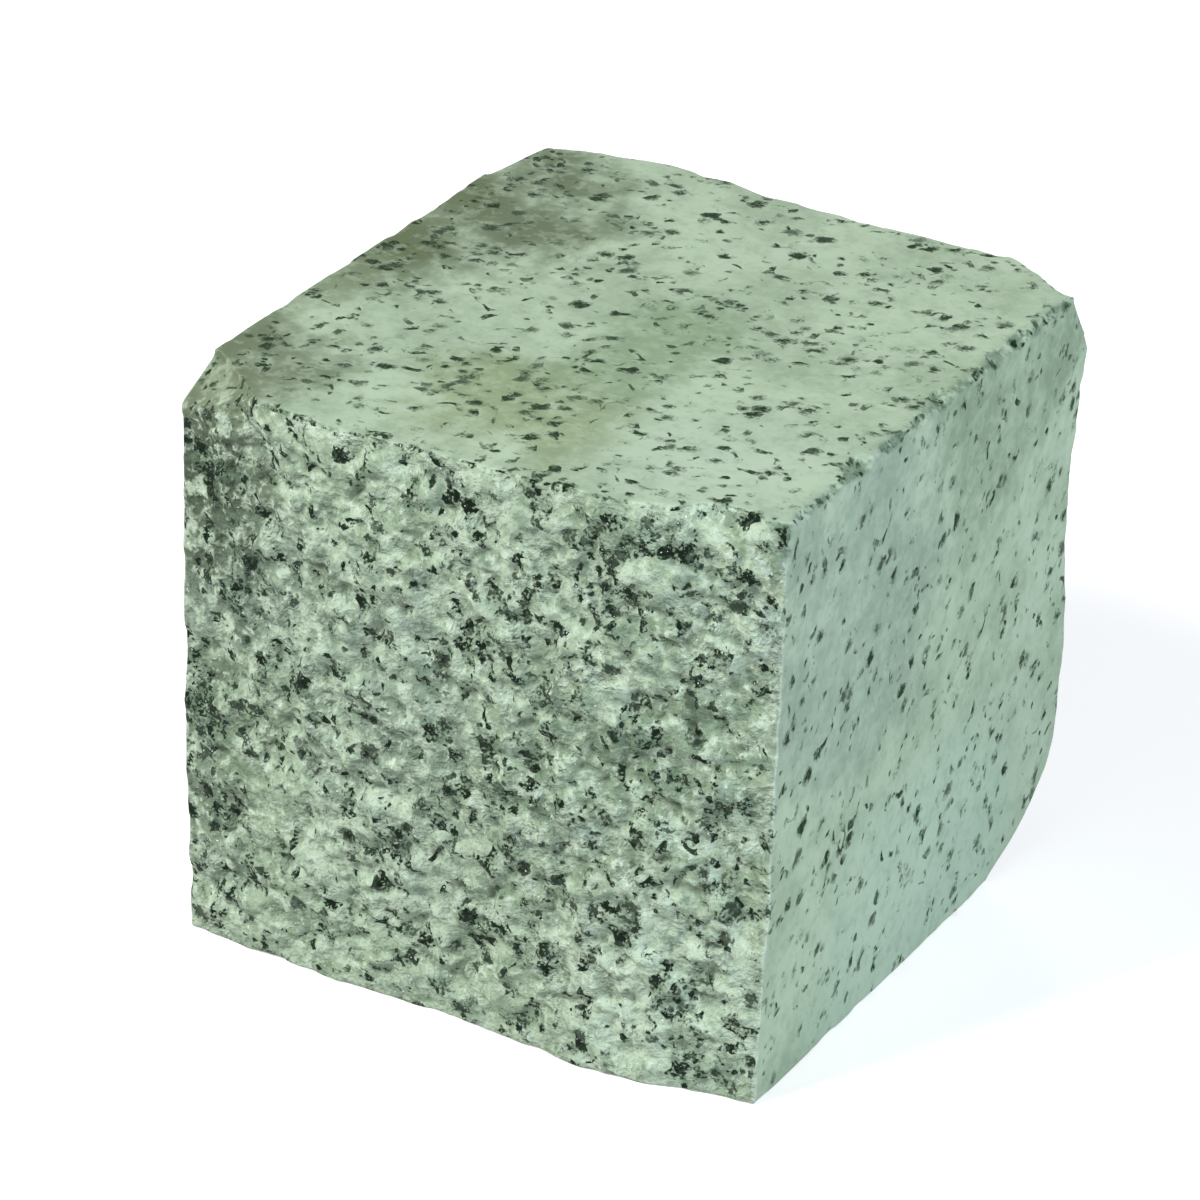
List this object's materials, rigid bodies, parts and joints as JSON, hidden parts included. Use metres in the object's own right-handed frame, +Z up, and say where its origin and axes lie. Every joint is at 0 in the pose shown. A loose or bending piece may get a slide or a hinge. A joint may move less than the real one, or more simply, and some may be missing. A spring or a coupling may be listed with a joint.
{
  "type": "granite sett",
  "caption": "Cube-shaped granite paving sett with four flat sawn faces and two rough split faces, for laying on a bed of sand or mortar in paths, kerbs and edgings.",
  "frame": {"origin": "middle of the sett's box, on the plane of the sawn bed", "axes": "+Z up out of the sawn top, +Y from the split front to the split back, +X to the right"},
  "size_m": [0.1, 0.1146, 0.1],
  "materials": {
    "granite": "pale green-grey granite with dark specks, sawn on four faces, split on two"
  },
  "bodies": {
    "root": {"granite_sett": "granite"}
  },
  "joints": []
}
